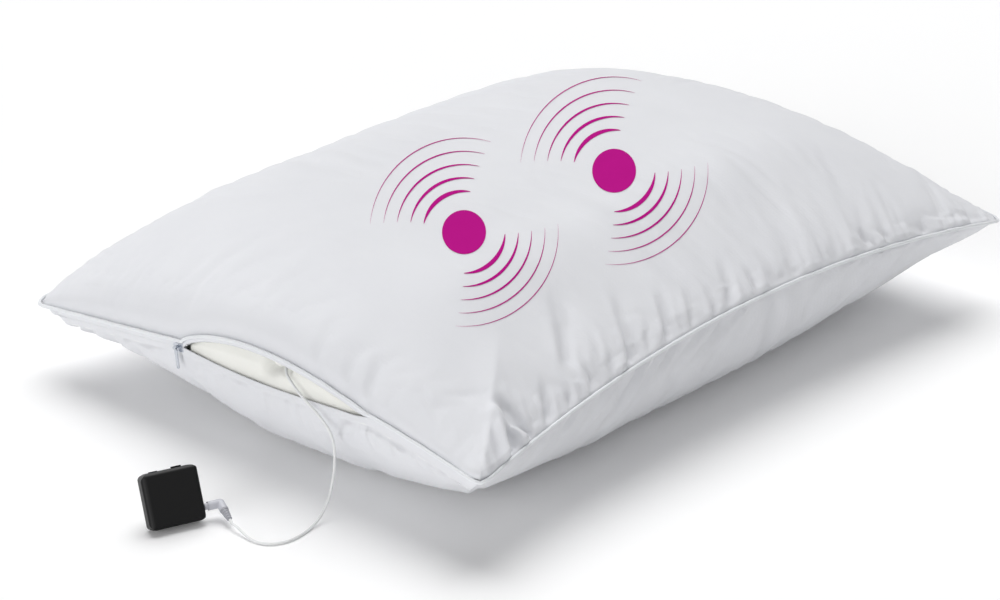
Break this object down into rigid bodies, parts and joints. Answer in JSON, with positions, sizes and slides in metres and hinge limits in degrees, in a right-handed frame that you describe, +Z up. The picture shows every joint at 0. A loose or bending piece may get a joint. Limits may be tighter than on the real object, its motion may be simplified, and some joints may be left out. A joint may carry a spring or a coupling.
{
  "type": "speaker pillow",
  "caption": "Zipped bed pillow with flat speakers inside, a thin lead out of the open zip and a small clip-on music receiver plugged in beside it.",
  "frame": {"origin": "on the floor under the middle of the pillow", "axes": "+X along the pillow away from its zip end, +Y across it towards the closed end of the zip, +Z up"},
  "size_m": [0.7737, 0.499, 0.1584],
  "materials": {
    "cotton": "fine white woven cotton, matt",
    "piping": "white bias-bound cord, matt",
    "zip_tape": "white woven polyester tape",
    "zip_teeth": "pale moulded teeth",
    "zip_metal": "bright nickelled zinc",
    "ticking": "off-white plain ticking",
    "fibre": "white hollow-fibre fill",
    "foam": "grey open-cell foam",
    "basket": "moulded black frame",
    "magnet": "sintered ferrite",
    "cone": "pressed black paper",
    "cord": "soft white jacket",
    "sleeve": "black shrink sleeve",
    "plug": "pale grey moulding",
    "relief": "grey ribbed moulding",
    "plug_metal": "nickel plate",
    "shell": "satin black moulding",
    "key": "matt black moulding",
    "board": "green circuit board",
    "battery": "foil pouch",
    "socket": "black moulding",
    "port_metal": "plain steel",
    "screw_metal": "blackened steel",
    "ink": "magenta printed ink, matt"
  },
  "bodies": {
    "pillow": {"cover_top_panel": "cotton", "cover_bottom_panel": "cotton", "cover_piping": "piping", "zip_tape_upper": "zip_tape", "zip_tape_lower": "zip_tape", "zip_teeth_upper": "zip_teeth", "zip_teeth_lower": "zip_teeth", "zip_end_stop": "zip_metal", "zip_open_stops": "zip_metal", "inner_ticking": "ticking", "fibre_fill": "fibre", "speaker_pad": "foam", "speaker_basket_left": "basket", "speaker_basket_right": "basket", "speaker_magnet_left": "magnet", "speaker_magnet_right": "magnet", "speaker_cone_left": "cone", "speaker_cone_right": "cone", "speaker_wire_left": "cord", "speaker_wire_right": "cord", "wire_splice": "sleeve", "cord_lead_in": "cord", "cord_grommet": "cord", "audio_cord": "cord", "plug_body": "plug", "plug_strain_relief": "relief", "plug_contact": "plug_metal", "receiver_front_shell": "shell", "receiver_back_shell": "shell", "receiver_board": "board", "receiver_battery": "battery", "receiver_jack_socket": "socket", "receiver_charge_port": "port_metal", "receiver_switches": "socket", "clip_pin": "port_metal", "clip_spring": "port_metal", "receiver_screws": "screw_metal", "wave_print": "ink"},
    "slider": {"zip_slider": "zip_metal"},
    "pull": {"zip_pull": "zip_metal"},
    "play_key": {"play_button": "key"},
    "pair_key": {"pair_button": "key"},
    "clip": {"receiver_clip": "shell"}
  },
  "joints": [
    {"name": "zip_slide", "type": "slide", "parent": "pillow", "child": "slider", "axis": [0, 0.9922, -0.1247], "range_m": [0, 0.12]},
    {"name": "pull_swing", "type": "hinge", "parent": "slider", "child": "pull", "pos_m": [-0.3242, 0.071, 0.0734], "axis": [0, 0.9922, -0.1247], "range_deg": [-6, 160]},
    {"name": "play_press", "type": "slide", "parent": "pillow", "child": "play_key", "axis": [-0.1445, -0.3971, -0.9063], "range_m": [0, 0.0006], "stiffness_N_per_m": 200, "springref_m": -0.0005},
    {"name": "pair_press", "type": "slide", "parent": "pillow", "child": "pair_key", "axis": [-0.1445, -0.3971, -0.9063], "range_m": [0, 0.0004], "stiffness_N_per_m": 200, "springref_m": -0.0005},
    {"name": "clip_open", "type": "hinge", "parent": "pillow", "child": "clip", "pos_m": [-0.42138, -0.02334, 0.02633], "axis": [0.9397, -0.342, 0], "range_deg": [0, 8], "stiffness_Nm_per_rad": 0.05, "springref_deg": -5.73}
  ]
}
